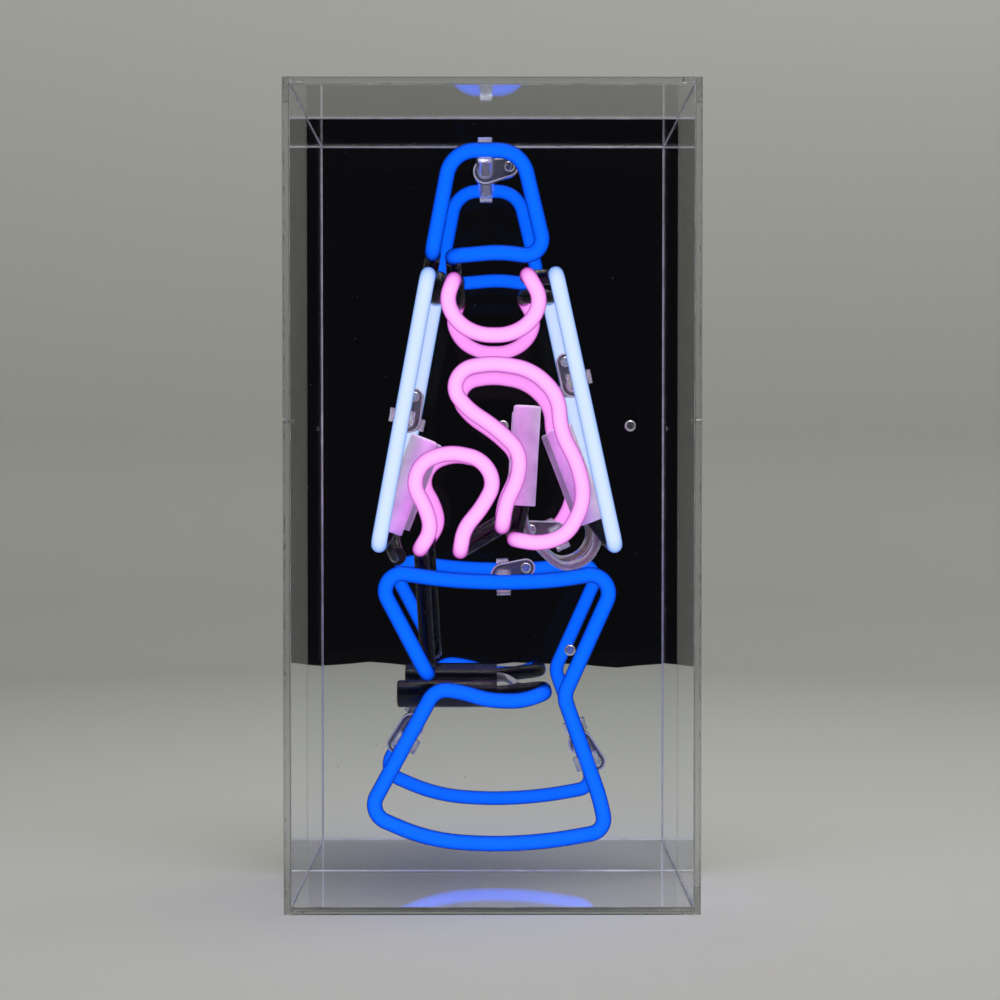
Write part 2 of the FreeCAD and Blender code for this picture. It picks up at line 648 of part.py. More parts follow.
def transformer_windings():
    """A coil that fills the windows of the core round its middle limb and stands proud of it."""
    width = CORE_WIDTH - 2 * (CORE_YOKE + WINDING_GAP)
    height = CORE_HEIGHT - 2 * (CORE_YOKE + WINDING_GAP)
    coil = on_core(width, height, CORE_DEPTH + WINDING_PROUD)
    return coil.cut(on_core(CORE_LIMB, CORE_HEIGHT, CORE_DEPTH))


def board_capacitors():
    """Three round capacitors on the board."""
    top = BOARD_Y + BOARD_THICKNESS
    cans = [rod(radius, (CAPACITOR_X, top, z), (CAPACITOR_X, top + length, z))
            for z, radius, length in CAPACITORS]
    return Part.Compound(cans)


def heat_sink():
    """A finned heat sink for the power transistors."""
    base = on_board(SINK_X, SINK_Z, SINK_WIDTH, SINK_HEIGHT, SINK_BASE)
    fins = [on_board(SINK_X + FIN_PITCH * (step - (FIN_COUNT - 1) / 2), SINK_Z,
                     FIN_THICKNESS, SINK_HEIGHT, FIN_HEIGHT)
            for step in range(FIN_COUNT)]
    return joined([base, *fins])


def dc_jack():
    """The round low-voltage inlet with its centre pin, facing down."""
    floor = HOUSING_CENTRE_Z - HOUSING_HEIGHT / 2
    base = (JACK_X, JACK_Y, floor - JACK_RIM_HEIGHT)
    rim = rod(JACK_RIM_RADIUS, base, (JACK_X, JACK_Y, floor))
    barrel = rod(JACK_BODY / 2, base, (JACK_X, JACK_Y, floor + JACK_LENGTH))
    bore = rod(JACK_BORE, base, (JACK_X, JACK_Y, floor + JACK_LENGTH - JACK_END_WALL))
    pin = rod(JACK_PIN, (JACK_X, JACK_Y, floor), (JACK_X, JACK_Y, floor + JACK_LENGTH - JACK_PIN_SINK))
    return joined([joined([rim, barrel]).cut(bore), pin])


# ---- rocker switch ---------------------------------------------------------------
def switch_face_x():
    return HOUSING_CENTRE_X + HOUSING_WIDTH / 2


def pivot_x():
    return switch_face_x() - PIVOT_INSET


def centred_on_switch(low_x, high_x, width_y, width_z):
    return block((low_x, SWITCH_Y - width_y / 2, SWITCH_Z - width_z / 2),
                 (high_x, SWITCH_Y + width_y / 2, SWITCH_Z + width_z / 2))


def switch_frame():
    """The switch's body with its bezel, and the pivot holes for the rocker."""
    face = switch_face_x()
    body = centred_on_switch(face - SWITCH_BODY_DEPTH, face, CUTOUT_Y, CUTOUT_Z)
    bezel = centred_on_switch(face, face + BEZEL_HEIGHT, CUTOUT_Y + 2 * BEZEL_RIM,
                              CUTOUT_Z + 2 * BEZEL_RIM)
    cavity = centred_on_switch(face - CAVITY_DEPTH, face + BEZEL_HEIGHT, CAVITY_Y, CAVITY_Z)
    reach = CUTOUT_Y / 2 - PIVOT_SKIN
    pivots = rod(PIVOT_RADIUS + PIVOT_CLEARANCE, (pivot_x(), SWITCH_Y - reach, SWITCH_Z),
                 (pivot_x(), SWITCH_Y + reach, SWITCH_Z))
    return joined([body, bezel]).cut(cavity).cut(pivots)


def rocker():
    """The rocker in its off position, with a pivot pin on each side."""
    corners = [Vector(pivot_x() + x, SWITCH_Y - ROCKER_THICKNESS / 2, SWITCH_Z + z)
               for x, z in ROCKER_OUTLINE]
    plate = Part.Face(Part.makePolygon([*corners, corners[0]]))
    body = plate.extrude(BACKWARD * ROCKER_THICKNESS)
    reach = CAVITY_Y / 2 + PIVOT_REACH
    pins = rod(PIVOT_RADIUS, (pivot_x(), SWITCH_Y - reach, SWITCH_Z),
               (pivot_x(), SWITCH_Y + reach, SWITCH_Z))
    shape = body.fuse(pins).removeSplitter()
    shape.rotate(Vector(pivot_x(), SWITCH_Y, SWITCH_Z), BACKWARD, -ROCKER_TILT)
    return shape


# ---- the whole object ------------------------------------------------------------
def display_box():
    return {
        "front_panel": front_panel(),
        "left_panel": side_panel(-1),
        "right_panel": side_panel(1),
        "top_panel": level_panel(BOX_HEIGHT - SHEET),
        "bottom_panel": level_panel(0.0),
        "mirror_panel": mirror_panel(),
    }


def lit_tubes():
    return {
        "cap_tube": shaped_tube(CAP_RUN),
        "left_side_tube": shaped_tube(LEFT_SIDE_RUN),
        "right_side_tube": shaped_tube(RIGHT_SIDE_RUN),
        "drop_tube": shaped_tube(DROP_RUN),
        "large_bubble_tube": shaped_tube(LARGE_BUBBLE_RUN),
        "small_bubble_tube": shaped_tube(SMALL_BUBBLE_RUN),
        "base_tube": shaped_tube(BASE_RUN),
    }


def painted_bridges():
    return {
        "bridge_side_to_cap": bridge(run_end(LEFT_SIDE_RUN, -1), run_end(CAP_RUN, 0)),
        "bridge_cap_to_drop": bridge(run_end(CAP_RUN, -1), run_end(DROP_RUN, 0)),
        "bridge_drop_to_side": bridge(run_end(DROP_RUN, -1), run_end(RIGHT_SIDE_RUN, 0)),
        "bridge_base_to_bubble": bridge(run_end(BASE_RUN, -1), run_end(SMALL_BUBBLE_RUN, 0)),
        "bridge_between_bubbles": bridge(run_end(SMALL_BUBBLE_RUN, -1),
                                         run_end(LARGE_BUBBLE_RUN, 0)),
    }


def electrode_parts():
    places = {
        "left": (run_end(LEFT_SIDE_RUN, 0), LEFT_MOUTH, LEFT_TIP),
        "right": (run_end(RIGHT_SIDE_RUN, -1), RIGHT_MOUTH, RIGHT_TIP),
        "centre": (run_end(LARGE_BUBBLE_RUN, -1), CENTRE_MOUTH, CENTRE_TIP),
        "base": (run_end(BASE_RUN, 0), BASE_MOUTH, BASE_TIP),
    }
    parts = {}
    for name, (tube_end, mouth, tip) in places.items():
        parts["electrode_glass_" + name] = electrode_glass(tube_end, mouth, tip)
        parts["electrode_" + name] = electrode(mouth, tip)
        parts["electrode_boot_" + name] = electrode_boot(mouth, tip)
    return parts


def leads():
    return {
        "jumper_sleeve": jumper_sleeve(),
        "jumper_wire": jumper_wire(),
        "left_lead": through_lead(LEFT_MOUTH, LEFT_TIP, LEFT_LEAD_HOLE),
        "base_lead": through_lead(BASE_MOUTH, BASE_TIP, BASE_LEAD_HOLE),
        "lead_grommets": lead_grommets(),
    }


def supports():
    parts = {"support_screws": support_screws()}
    for name in SUPPORTS:
        parts["support_base_" + name] = support_base(name)
        parts["support_clip_" + name] = support_clip(name)
    return parts


def power_unit():
    return {
        "rear_housing": rear_housing(),
        "housing_screws": housing_screws(),
        "driver_board": driver_board(),
        "transformer_core": transformer_core(),
        "transformer_windings": transformer_windings(),
        "board_capacitors": board_capacitors(),
        "heat_sink": heat_sink(),
        "dc_jack": dc_jack(),
        "switch_frame": switch_frame(),
        "rocker": rocker(),
    }


def main():
    os.makedirs("parts", exist_ok=True)
    groups = (display_box, lit_tubes, painted_bridges, electrode_parts, leads, supports,
              power_unit)
    for group in groups:
        for name, shape in group().items():
            shape.exportStep(f"parts/{name}.step")
            print(f"{name}: {len(shape.Solids)} solid, {shape.Volume / 1000:.2f} cm3, "
                  f"valid {shape.isValid()}")


if __name__ == "__main__":
    main()
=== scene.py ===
import math

import bmesh
import bpy
from mathutils import Matrix, Vector


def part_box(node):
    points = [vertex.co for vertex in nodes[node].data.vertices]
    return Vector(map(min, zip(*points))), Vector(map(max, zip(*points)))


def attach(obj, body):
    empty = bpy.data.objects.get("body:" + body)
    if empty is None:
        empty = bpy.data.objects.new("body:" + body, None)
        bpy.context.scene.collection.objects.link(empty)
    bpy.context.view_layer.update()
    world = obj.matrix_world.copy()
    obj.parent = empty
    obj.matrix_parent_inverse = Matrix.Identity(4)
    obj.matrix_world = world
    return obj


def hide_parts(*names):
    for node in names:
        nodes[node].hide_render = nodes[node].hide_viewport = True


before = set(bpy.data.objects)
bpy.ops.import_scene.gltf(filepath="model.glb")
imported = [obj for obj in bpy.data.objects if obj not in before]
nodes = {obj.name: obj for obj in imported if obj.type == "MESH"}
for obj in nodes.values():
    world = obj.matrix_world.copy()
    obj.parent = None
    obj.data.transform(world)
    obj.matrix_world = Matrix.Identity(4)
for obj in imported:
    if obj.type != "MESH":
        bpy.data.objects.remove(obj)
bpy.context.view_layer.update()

MM = 0.001

# Camera: near the height of the box's middle, looking along +Y and a little down.
CAMERA_PLACE = Vector((0.0007, -0.9915, 0.199))
CAMERA_LENS = 73.93
CAMERA_SENSOR = 36.0
CAMERA_PITCH = math.radians(1.4)
CAMERA_YAW = math.radians(0.17)
CAMERA_SHIFT = 0.0282
CAMERA_NEAR = 0.01
CAMERA_FAR = 30

# Studio: a round paper floor that sweeps up into a wall, farther out than any camera. Light and shade are
# painted
# into the paper: each painted tone is a distance from the object in metres, and how bright the paper is
# painted there.
FLOOR_RADIUS = 1.15
SWEEP_RADIUS = 0.25
WALL_TOP = 1.3
STAGE_SIDES = 96
SWEEP_STEPS = 16
PAPER_COLOUR = (0.50, 0.50, 0.475)
PAPER_REACH = 2.0
PAPER_PAINTED_LIGHT = (
    (0.30, 1.05), (0.57, 0.98), (0.86, 0.91), (1.15, 0.86), (1.32, 0.82),
    (1.37, 0.88), (1.42, 0.98), (1.46, 1.02), (1.59, 1.11),
)
SURROUND_COLOUR = (0.50, 0.505, 0.48)
SURROUND_STRENGTH = 0.52

# A dark cloth behind the camera that only the mirror sees; its faint light is painted on as a glow. Each
# fold of its hem is a height and a pace.
CLOTH_Y = -0.997
CLOTH_HALF_WIDTH = 0.62
CLOTH_TOP = 1.3
CLOTH_HEM = 0.0125
CLOTH_FOLDS = ((0.002, 38), (0.001, 91))
CLOTH_COLUMNS = 60
CLOTH_PAINTED_LIGHT = (0.0036, 0.0036, 0.0044)

# The lit tubes: their radius, the plane of their axes, and how far behind it their end colour is reached.
TUBE_RADIUS = 3.65 * MM
TUBE_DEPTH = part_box("left_side_tube")[0].y + TUBE_RADIUS
END_FADE = 7 * MM

# The lamps inside the lit tubes: the tube, the lamps' colour, the watts of each, and where they are, as
# shares of the tube's width and height.
PINK_GLOW = (1.0, 0.20, 0.92)
BLUE_GLOW = (0.05, 0.18, 1.0)
WHITE_GLOW = (0.65, 0.80, 1.0)
TUBE_LAMPS = (
    ("large_bubble_tube", PINK_GLOW, 0.0045, ((0.1, 0.8), (0.5, 0.97), (0.3, 0.45), (0.8, 0.5))),
    ("large_bubble_tube", PINK_GLOW, 0.0035, ((0.95, 0.2), (0.6, 0.03))),
    ("small_bubble_tube", PINK_GLOW, 0.006, ((0.1, 0.3), (0.4, 0.95), (0.95, 0.6), (0.55, 0.1))),
    ("drop_tube", PINK_GLOW, 0.005, ((0.1, 0.6), (0.5, 0.1), (0.9, 0.6))),
    ("cap_tube", BLUE_GLOW, 0.008, ((0.1, 0.3), (0.4, 0.95), (0.9, 0.4), (0.5, 0.1))),
    ("base_tube", BLUE_GLOW, 0.006, ((0.05, 0.15), (0.35, 0.04), (0.65, 0.04), (0.95, 0.15))),
    ("base_tube", BLUE_GLOW, 0.008, ((0.3, 0.5), (0.75, 0.5), (0.2, 0.95), (0.8, 0.95))),
    ("left_side_tube", WHITE_GLOW, 0.007, ((0.1, 0.1), (0.5, 0.5), (0.9, 0.9))),
    ("right_side_tube", WHITE_GLOW, 0.005, ((0.1, 0.9), (0.5, 0.5), (0.9, 0.1))),
)

# The base tube's glow on what is right under it: its lamps' places across the tube, and where they are.
FLOOR_GLOW = (0.05, 0.16, 1.0)
FLOOR_GLOW_SPREAD = (0.2, 0.5, 0.8)
FLOOR_GLOW_SETBACK = 28 * MM
FLOOR_GLOW_HEIGHT = 28 * MM
FLOOR_GLOW_POWER = 0.014

# Acrylic sheets: how far each stands back from its neighbours at a glued joint, its eased edges, how
# square-on a face is to count as one of its two large ones, the bead of cement in each corner, and how
# much of its usual reflection the front sheet gives head-on.
SHEETS = ("front_panel", "left_panel", "right_panel", "top_panel", "bottom_panel")
JOINT_GAP = 0.04 * MM
SHEET_EDGE = 0.4 * MM
EDGE_SEGMENTS = 2
FACE_ON = 0.9
BEAD_SIZE = 0.4 * MM
BEAD_HOLLOW = 0.35
ACRYLIC_IOR = 1.49
FRONT_GLARE = 0.05

# The breathing hole drilled through each side sheet.
VENT_RADIUS = 1.0 * MM
VENT_HEIGHT = 225 * MM
VENT_SIDES = 24
CUTTER_LENGTH = 20 * MM

# The supports' feet: the way that each points from its post, in degrees, its outline, and its raised rim.
FOOT_ANGLES = {
    "top": 11, "left": 75, "right": 109, "bubble": 171, "rim": 19, "base_left": -130, "base_right": -50,
}
FOOT_RADIUS = 6.2 * MM
FOOT_LOBE_RADIUS = 4.6 * MM
FOOT_REACH = 12.0 * MM
FOOT_THICKNESS = 2.5 * MM
RIM_RADIUS = 0.4 * MM
RIM_STEPS = 14
RIM_SEGMENTS = 2
RIM_CLARITY = 0.55

# Mirror: its silver is a thin layer on its front. Dust is specks to a metre, and a speck's radius as a
# share of the space between them.
SILVER = (0.90, 0.91, 0.92)
SILVER_DEPTH = 0.1 * MM
DUST_COUNT = 100
DUST_SIZE = 0.025
DULL = 0.5

# Noise: where most of a field lies, and the stretch that draws its grain out along the Z axis.
FIELD_LOW = 0.3
FIELD_HIGH = 0.7
EVEN = (1, 1, 1)
UPRIGHT = (1, 1, 0.2)


def srgb(red, green, blue):
    """A screen colour, 0 to 255 each, as the linear colour that a shader takes."""
    return tuple(
        c / 255 / 12.92 if c <= 10 else ((c / 255 + 0.055) / 1.055) ** 2.4
        for c in (red, green, blue)
    )


# ---------- nodes ----------


def principled(name, colour, roughness, **sockets):
    """A new material with one Principled shader, its sockets set by name with spaces as underscores."""
    material = bpy.data.materials.new(name)
    material.use_nodes = True
    shader = material.node_tree.nodes["Principled BSDF"]
    shader.inputs["Base Color"].default_value = (*colour, 1)
    shader.inputs["Roughness"].default_value = roughness
    for key, value in sockets.items():
        socket = shader.inputs[key.replace("_", " ")]
        socket.default_value = (*value, 1) if isinstance(value, tuple) else value
    return material, material.node_tree, shader


def own_metres(tree):
    """Places in the piece's own metres."""
    return tree.nodes.new("ShaderNodeTexCoord").outputs["Object"]


def depth_metres(tree):
    """How far back a place is, in metres."""
    split = tree.nodes.new("ShaderNodeSeparateXYZ")
    tree.links.new(own_metres(tree), split.inputs["Vector"])
    return split.outputs["Y"]


def maths(tree, operation, value, number):
    """The result of a sum with a value from another node and a plain number."""
    node = tree.nodes.new("ShaderNodeMath")
    node.operation = operation
    node.inputs[1].default_value = number
    tree.links.new(value, node.inputs[0])
    return node.outputs["Value"]


def noise(tree, scale, detail=3.0, stretch=EVEN):
    """A noise field over the piece's own metres, stretched along an axis if asked."""
    mapping = tree.nodes.new("ShaderNodeMapping")
    mapping.inputs["Scale"].default_value = stretch
    field = tree.nodes.new("ShaderNodeTexNoise")
    field.inputs["Scale"].default_value = scale
    field.inputs["Detail"].default_value = detail
    tree.links.new(own_metres(tree), mapping.inputs["Vector"])
    tree.links.new(mapping.outputs["Vector"], field.inputs["Vector"])
    return field.outputs["Fac"]


def ramp(tree, factor, *stops):
    """A colour ramp over a factor; each stop is (position, colour)."""
    node = tree.nodes.new("ShaderNodeValToRGB")
    elements = node.color_ramp.elements
    while len(elements) < len(stops):
        elements.new(position=0.5)
    for element, (position, colour) in zip(elements, stops):
        element.position = position
        element.color = (*colour, 1)
    tree.links.new(factor, node.inputs["Fac"])
    return node.outputs["Color"]


def spread(tree, factor, start, end, low, high):
    """A number that runs from low to high while the factor runs from start to end."""
    node = tree.nodes.new("ShaderNodeMapRange")
    node.inputs["From Min"].default_value = start
    node.inputs["From Max"].default_value = end
    node.inputs["To Min"].default_value = low
    node.inputs["To Max"].default_value = high
    tree.links.new(factor, node.inputs["Value"])
    return node.outputs["Result"]


def vary_colour(tree, shader, factor, dark, light, low=0.35, high=0.65):
    """The base colour runs from dark to light while the factor runs from low to high."""
    tree.links.new(ramp(tree, factor, (low, dark), (high, light)), shader.inputs["Base Color"])


def vary_roughness(tree, shader, factor, smooth, rough):
    """The roughness runs from smooth to rough with the factor."""
    result = spread(tree, factor, FIELD_LOW, FIELD_HIGH, smooth, rough)
    tree.links.new(result, shader.inputs["Roughness"])


def add_bump(tree, shader, height, distance):
    """Surface relief of the given distance in metres."""
    bump = tree.nodes.new("ShaderNodeBump")
    bump.inputs["Strength"].default_value = 1.0
    bump.inputs["Distance"].default_value = distance
    tree.links.new(height, bump.inputs["Height"])
    tree.links.new(bump.outputs["Normal"], shader.inputs["Normal"])


def mix_surface(tree, factor, first, second):
    """The surface runs from the first shader to the second with the factor."""
    mix = tree.nodes.new("ShaderNodeMixShader")
    tree.links.new(factor, mix.inputs["Fac"])
    tree.links.new(first.outputs["BSDF"], mix.inputs[1])
    tree.links.new(second.outputs["BSDF"], mix.inputs[2])
    tree.links.new(mix.outputs["Shader"], tree.nodes["Material Output"].inputs["Surface"])


def let_lamps_through(tree, shader):
    """Clear pieces stand in no lamp's way: their shadow rays go straight through."""
    path = tree.nodes.new("ShaderNodeLightPath")
    clear = tree.nodes.new("ShaderNodeBsdfTransparent")
    mix_surface(tree, path.outputs["Is Shadow Ray"], shader, clear)


# ---------- materials ----------


def acrylic_material(name="clear_acrylic", glare=1.0):
    """The face of a cast acrylic sheet; glare is how much of its usual reflection it gives head-on."""
    material, tree, shader = principled(
        name, colour=(0.985, 0.992, 0.988), roughness=0.0,
        Transmission_Weight=1.0, IOR=ACRYLIC_IOR, Specular_Tint=(glare, glare, glare),
    )
    let_lamps_through(tree, shader)
    return material


def acrylic_edge_material():
    """The cut edge of an acrylic sheet: polished, a little grey, with the last of its saw marks."""
    material, tree, shader = principled(
        "acrylic_edge", colour=(0.70, 0.71, 0.73), roughness=0.03,
        Transmission_Weight=1.0, IOR=ACRYLIC_IOR,
    )
    add_bump(tree, shader, noise(tree, scale=700, detail=2, stretch=UPRIGHT), distance=0.03 * MM)
    let_lamps_through(tree, shader)
    return material


def cement_material():
    """Solvent cement in the sheets' inside corners: a cloudy line that catches the light."""
    cloudy = (0.60, 0.60, 0.62)
    pale = (0.88, 0.88, 0.90)
    material, tree, shader = principled(
        "acrylic_cement", pale, roughness=0.18, Transmission_Weight=0.35, IOR=ACRYLIC_IOR
    )
    vary_colour(tree, shader, noise(tree, scale=130), cloudy, pale)
    add_bump(tree, shader, noise(tree, scale=500, detail=2), distance=0.05 * MM)
    return material


def mirror_material():
    """Mirrored acrylic: silver on its front face, with specks of dust, and grey backing paint behind."""
    material, tree, shader = principled("mirror_acrylic", SILVER, roughness=0.0)
    silver_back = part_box("mirror_panel")[0].y + SILVER_DEPTH
    specks = tree.nodes.new("ShaderNodeTexVoronoi")
    specks.inputs["Scale"].default_value = DUST_COUNT
    tree.links.new(own_metres(tree), specks.inputs["Vector"])
    silver = tree.nodes.new("ShaderNodeMath")
    silver.operation = "MULTIPLY"
    tree.links.new(maths(tree, "LESS_THAN", depth_metres(tree), silver_back), silver.inputs[0])
    tree.links.new(maths(tree, "GREATER_THAN", specks.outputs["Distance"], DUST_SIZE), silver.inputs[1])
    bright = silver.outputs["Value"]
    tree.links.new(bright, shader.inputs["Metallic"])
    tree.links.new(ramp(tree, bright, (0, srgb(92, 94, 96)), (1, SILVER)), shader.inputs["Base Color"])
    tree.links.new(spread(tree, bright, 0, 1, DULL, 0), shader.inputs["Roughness"])
    return material


def lit_glass_material(name, glow, end_glow, tint):
    """Phosphor-coated tube: an even glow seen through tinted glass, which darkens towards the tube's rim.
    Where the tube turns back towards the mirror, the glow runs to its end colour."""
    material, tree, shader = principled(
        name, colour=(0.0, 0.0, 0.0), roughness=0.10,
        Emission_Strength=1.0, Specular_IOR_Level=0.25,
        Coat_Weight=1.0, Coat_Roughness=0.05, Coat_IOR=1.02, Coat_Tint=tint,
    )
    mix = tree.nodes.new("ShaderNodeMix")
    mix.data_type = "RGBA"
    mix.clamp_result = False
    mix.inputs["A"].default_value = (*glow, 1)
    mix.inputs["B"].default_value = (*end_glow, 1)
    turned_back = spread(tree, depth_metres(tree), TUBE_DEPTH, TUBE_DEPTH + END_FADE, 0, 1)
    tree.links.new(turned_back, mix.inputs["Factor"])
    tree.links.new(mix.outputs["Result"], shader.inputs["Emission Color"])
    return material


def painted_glass_material():
    """Glass tube brushed with black block-out paint: glossy, with brush ridges along it."""
    material, tree, shader = principled(
        "black_coated_glass", colour=(0.003, 0.003, 0.004), roughness=0.16, Specular_IOR_Level=0.35
    )
    vary_roughness(tree, shader, noise(tree, scale=260, detail=4), smooth=0.12, rough=0.30)
    add_bump(tree, shader, noise(tree, scale=900, detail=2, stretch=(1, 1, 0.25)), distance=0.04 * MM)
    return material


def frosted_silicone_material():
    """Moulded translucent silicone."""
    thick = (0.62, 0.50, 0.66)
    thin = (0.76, 0.66, 0.80)
    material, tree, shader = principled(
        "frosted_silicone", thin, roughness=0.40, Subsurface_Weight=1.0, IOR=1.41, Sheen_Weight=0.25
    )
    shader.inputs["Subsurface Radius"].default_value = (1.0, 0.8, 1.0)
    shader.inputs["Subsurface Scale"].default_value = 3 * MM
    vary_colour(tree, shader, noise(tree, scale=90, detail=4), thick, thin)
    add_bump(tree, shader, noise(tree, scale=1800), distance=0.05 * MM)
    return material


def black_silicone_material():
    """Moulded black silicone, satin."""
    material, tree, shader = principled(
        "black_silicone", colour=(0.004, 0.004, 0.005), roughness=0.2, Specular_IOR_Level=0.35
    )
    vary_roughness(tree, shader, noise(tree, scale=500, detail=4), smooth=0.14, rough=0.26)
    add_bump(tree, shader, noise(tree, scale=1200), distance=0.015 * MM)
    return material


def clear_plastic_material(name="clear_support_plastic", clarity=0.93):
    """Injection-moulded polycarbonate: clear, a little milky, with soft flow lines."""
    material, tree, shader = principled(
        name, colour=(0.92, 0.92, 0.95), roughness=0.04,
        Transmission_Weight=clarity, IOR=1.55, Coat_Weight=0.5,
    )
    add_bump(tree, shader, noise(tree, scale=520), distance=0.28 * MM)
    let_lamps_through(tree, shader)
    return material


def metal_material(name, colour, smooth, rough, grain=1200, stretch=EVEN):
    """Bare or plated metal with fine handling marks."""
    material, tree, shader = principled(name, colour, smooth, Metallic=1.0)
    field = noise(tree, grain, detail=4, stretch=stretch)
    vary_roughness(tree, shader, field, smooth, rough)
    add_bump(tree, shader, field, distance=0.02 * MM)
    return material


def moulded_material(name, dark, light, smooth, rough, grain=1500, relief=0.04 * MM):
    """Moulded plastic or rubber: a fine grain, with slight colour and gloss variation."""
    material, tree, shader = principled(name, light, rough)
    vary_colour(tree, shader, noise(tree, scale=60, detail=4), dark, light)
    vary_roughness(tree, shader, noise(tree, scale=220), smooth, rough)
    add_bump(tree, shader, noise(tree, grain), relief)
    return material


def silicone_lead_material():
    """Clear silicone sleeve over a lead, slightly cloudy."""
    material, tree, shader = principled(
        "lead_silicone", colour=(0.72, 0.72, 0.76), roughness=0.16,
        Transmission_Weight=0.85, IOR=1.41, Sheen_Weight=0.3,
    )
    add_bump(tree, shader, noise(tree, scale=900), distance=0.04 * MM)
    let_lamps_through(tree, shader)
    return material


def board_material():
    """Green solder mask with copper tracks under it."""
    material, tree, shader = principled("circuit_board", srgb(20, 74, 42), roughness=0.35)
    tracks = tree.nodes.new("ShaderNodeTexBrick")
    tracks.inputs["Scale"].default_value = 120
    tracks.inputs["Mortar Size"].default_value = 0.06
    tracks.inputs["Color1"].default_value = (*srgb(18, 70, 40), 1)
    tracks.inputs["Color2"].default_value = (*srgb(24, 84, 48), 1)
    tracks.inputs["Mortar"].default_value = (*srgb(52, 120, 64), 1)
    turn = tree.nodes.new("ShaderNodeMapping")
    turn.inputs["Rotation"].default_value = (math.radians(90), 0, 0)
    tree.links.new(own_metres(tree), turn.inputs["Vector"])
    tree.links.new(turn.outputs["Vector"], tracks.inputs["Vector"])
    tree.links.new(tracks.outputs["Color"], shader.inputs["Base Color"])
    add_bump(tree, shader, tracks.outputs["Fac"], distance=0.05 * MM)
    return material


def winding_material():
    """Enamelled wire: fine turns side by side, with painted shade in the grooves between them and painted
    light on their crests.
    """
    material, tree, shader = principled(
        "amber_winding", srgb(176, 104, 40), roughness=0.3, Coat_Weight=0.5
    )
    turns = tree.nodes.new("ShaderNodeTexWave")
    turns.wave_type = "BANDS"
    turns.bands_direction = "Z"
    turns.inputs["Scale"].default_value = 700
    turns.inputs["Distortion"].default_value = 0.6
    tree.links.new(own_metres(tree), turns.inputs["Vector"])
    # painted shade in the grooves between turns, painted light on their crests
    vary_colour(
        tree, shader, turns.outputs["Fac"], srgb(120, 60, 20), srgb(205, 132, 58), low=0.1, high=0.9
    )
    add_bump(tree, shader, turns.outputs["Fac"], distance=0.2 * MM)
    return material


def tube_materials():
    """The three colours of lit tube."""
    return [
        lit_glass_material(
            "blue_glass", glow=(0.02, 0.46, 3.55), end_glow=(0.015, 0.40, 3.3), tint=(0.20, 0.36, 0.42)
        ),
        lit_glass_material(
            "white_glass", glow=(1.37, 1.37, 1.45), end_glow=(1.30, 1.30, 1.45), tint=(0.52, 0.62, 0.80)
        ),
        lit_glass_material(
            "pink_glass", glow=(2.08, 1.31, 1.93), end_glow=(1.95, 0.60, 1.65), tint=(0.60, 0.42, 0.62)
        ),
    ]


def metal_materials():
    """The electrodes, the wire, the screws and the heat sink."""
    return [
        metal_material("nickel", (0.66, 0.64, 0.60), smooth=0.18, rough=0.34),
        metal_material("copper_wire", (0.80, 0.44, 0.30), smooth=0.22, rough=0.40),
        metal_material("zinc_screw", (0.72, 0.72, 0.74), smooth=0.16, rough=0.34),
        metal_material(
            "heat_sink_metal", (0.35, 0.35, 0.36), smooth=0.3, rough=0.5, grain=1500, stretch=(1, 1, 0.1)
        ),
    ]


def moulded_materials():
    """The grommets, the housing, the rocker, the transformer's core and the capacitors' sleeves."""
    return [
        moulded_material("black_rubber", srgb(16, 16, 17), srgb(26, 26, 27), smooth=0.5, rough=0.7),
        moulded_material(
            "black_housing_plastic", srgb(20, 20, 21), srgb(30, 30, 31),
            smooth=0.42, rough=0.6, grain=1800, relief=0.06 * MM,
        ),
        moulded_material(
            "rocker_plastic", srgb(16, 16, 17), srgb(22, 22, 23),
            smooth=0.22, rough=0.36, grain=2600, relief=0.02 * MM,
        ),
        moulded_material(
            "ferrite", srgb(44, 42, 42), srgb(62, 60, 58),
            smooth=0.55, rough=0.8, grain=900, relief=0.08 * MM,
        ),
        moulded_material("capacitor_sleeve", srgb(22, 30, 70), srgb(30, 40, 92), smooth=0.25, rough=0.4),
    ]


def slot_name(material):
    """The name of a material's slot, without the number that Blender adds to a name in use."""
    return material.name.split(".")[0]


def paint_all():
    """One material per slot of the record, put on every CAD node that uses the slot."""
    made = [
        acrylic_material(),
        mirror_material(),
        painted_glass_material(),
        frosted_silicone_material(),
        black_silicone_material(),
        clear_plastic_material(),
        silicone_lead_material(),
        board_material(),
        winding_material(),
        *tube_materials(),
        *metal_materials(),
        *moulded_materials(),
    ]
    finishes = {slot_name(material): material for material in made}
    for node in nodes.values():
        for slot in node.material_slots:
            slot.material = finishes[slot_name(slot.material)]
    return finishes


# ---------- pieces ----------


def put_in_scene(name, data):
    """A new object in the scene, of the given mesh, curve, light or camera."""
    made = bpy.data.objects.new(name, data)
    bpy.context.scene.collection.objects.link(made)
    return made


def built_mesh(name, mesh_builder):
    """A new mesh, filled by mesh_builder(bm)."""
    mesh = bpy.data.meshes.new(name)
    bm = bmesh.new()
    mesh_builder(bm)
    bm.to_mesh(mesh)
    bm.free()
    return mesh


def piece(name, data, material):
    """A new piece of the light, of one material."""
    data.materials.append(material)
    made = put_in_scene(name, data)
    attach(made, "light")
    return made


def add_block(bm, low, high, edge):
    """A box between two corners with eased edges."""
    made = bmesh.ops.create_cube(bm, size=1)
    size = high - low
    middle = (high + low) / 2
    for vertex in made["verts"]:
        vertex.co = Vector(c * s for c, s in zip(vertex.co, size)) + middle
    edges = list({e for v in made["verts"] for e in v.link_edges})
    bmesh.ops.bevel(bm, geom=edges, offset=edge, segments=EDGE_SEGMENTS, affect="EDGES", profile=0.5)


